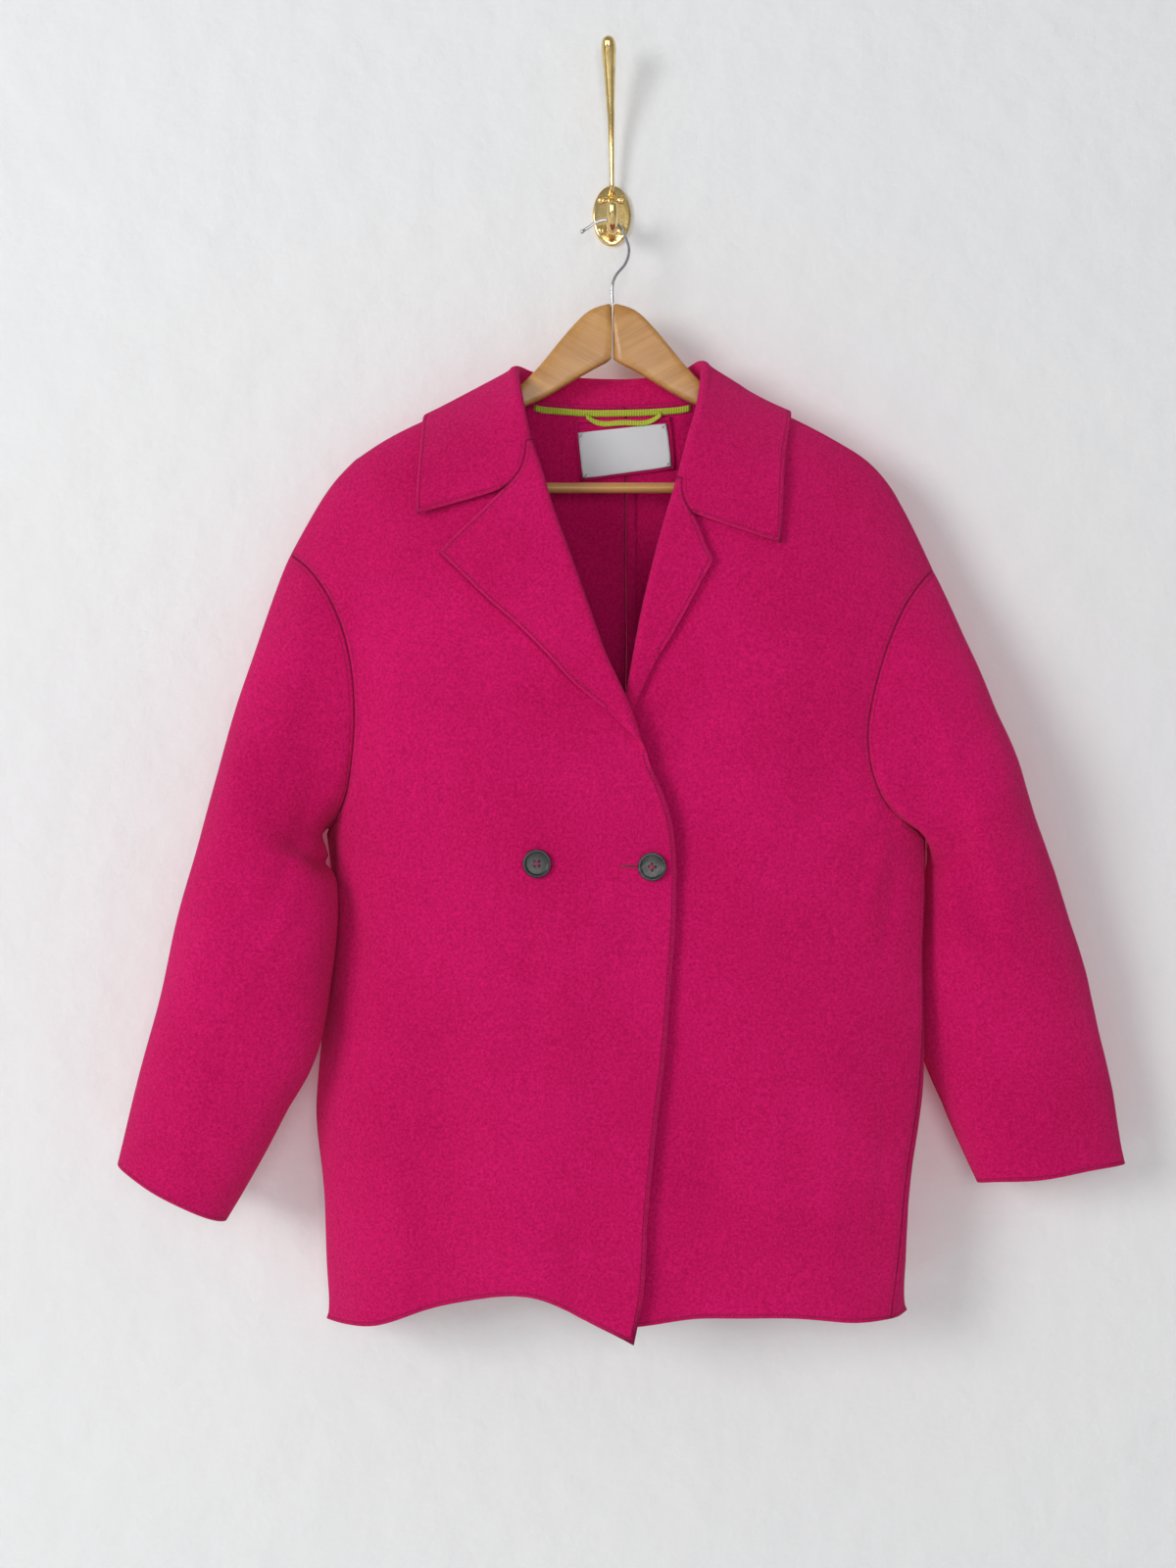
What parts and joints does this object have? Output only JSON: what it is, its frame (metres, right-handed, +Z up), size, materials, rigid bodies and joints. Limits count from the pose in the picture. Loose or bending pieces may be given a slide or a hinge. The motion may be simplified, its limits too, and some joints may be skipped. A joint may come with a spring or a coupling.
{
  "type": "double-breasted coat on a clothes hanger and a wall hook",
  "caption": "Boxy double-breasted coat of thick pink felted wool with notched lapels, hung open-necked on a wooden hanger from a brass wall hook.",
  "frame": {"origin": "middle of the back face of the brass wall plate, on the wall", "axes": "+Y into the wall, +Z up, +X to the viewer's right; the coat's front faces -Y"},
  "size_m": [0.8334, 0.1331, 1.0796],
  "materials": {
    "wool": "felted, matt, short soft nap",
    "tape": "woven twill tape",
    "label": "plain woven, blank",
    "button": "polished horn look",
    "wood": "clear satin varnish",
    "chrome": "polished",
    "brass": "polished"
  },
  "bodies": {
    "root": {"front_right": "wool", "front_left": "wool", "back_right": "wool", "back_left": "wool", "sleeve_right": "wool", "sleeve_left": "wool", "collar": "wool", "label_patch": "wool", "neck_tape": "tape", "hanging_loop": "tape", "label": "label", "button_left_side": "button", "button_right_side": "button", "hanger_arm_right": "wood", "hanger_arm_left": "wood", "trouser_bar": "wood", "hanger_hook": "chrome", "wall_plate": "brass", "upper_prong": "brass", "lower_prong": "brass", "screw_1": "brass", "screw_2": "brass", "screw_3": "brass", "screw_4": "brass"}
  },
  "joints": []
}
